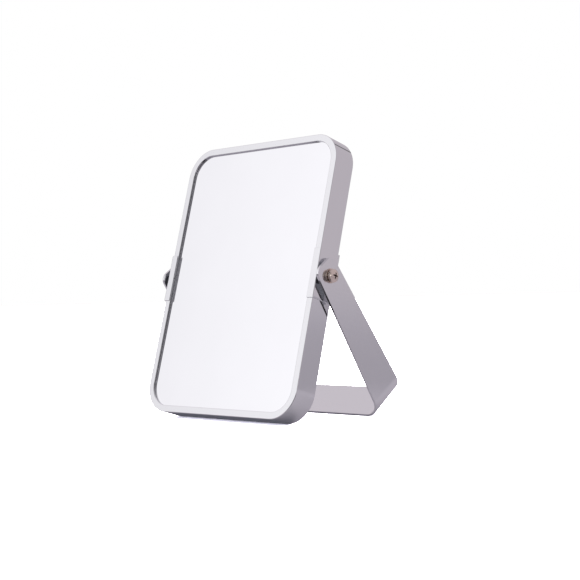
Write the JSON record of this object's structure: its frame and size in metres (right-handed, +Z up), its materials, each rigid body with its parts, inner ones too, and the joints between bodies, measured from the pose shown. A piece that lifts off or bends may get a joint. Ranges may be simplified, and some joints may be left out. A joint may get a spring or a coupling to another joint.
{
  "type": "countertop mirror",
  "caption": "Rectangular framed table mirror, plain in front and magnifying behind, turning on pivot screws between the arms of a bent strip stand.",
  "frame": {"origin": "on the table, below the middle of the object's bounding box", "axes": "+Z up, front of the mirror towards -Y, hinge axis along X, stand reaching back to +Y"},
  "size_m": [0.1506, 0.0998, 0.1773],
  "materials": {
    "stand_chrome": "bright chrome plate on bent steel strip",
    "frame_chrome": "bright chrome plate on folded steel channel",
    "mirror_glass": "silvered glass",
    "foam": "grey cellular rubber",
    "board": "moulded board",
    "zinc_steel": "zinc plate",
    "nylon": "dark grey nylon",
    "nickel": "nickel plate"
  },
  "bodies": {
    "stand": {"stand_bracket": "stand_chrome"},
    "head": {"upper_frame": "frame_chrome", "lower_frame": "frame_chrome", "front_mirror": "mirror_glass", "rear_magnifying_mirror": "mirror_glass", "foam_sheet": "foam", "core_board": "board", "upper_left_pad": "foam", "upper_right_pad": "foam", "lower_left_pad": "foam", "lower_right_pad": "foam", "left_sleeve": "frame_chrome", "left_splice_plate": "zinc_steel", "left_friction_washer": "nylon", "left_flat_washer": "nickel", "left_lock_washer": "nickel", "left_screw": "nickel", "right_sleeve": "frame_chrome", "right_splice_plate": "zinc_steel", "right_friction_washer": "nylon", "right_flat_washer": "nickel", "right_lock_washer": "nickel", "right_screw": "nickel"}
  },
  "joints": [
    {"name": "head_turn", "type": "hinge", "parent": "stand", "child": "head", "pos_m": [0, -0.01734, 0.08867], "axis": [1, 0, 0], "continuous": true}
  ]
}
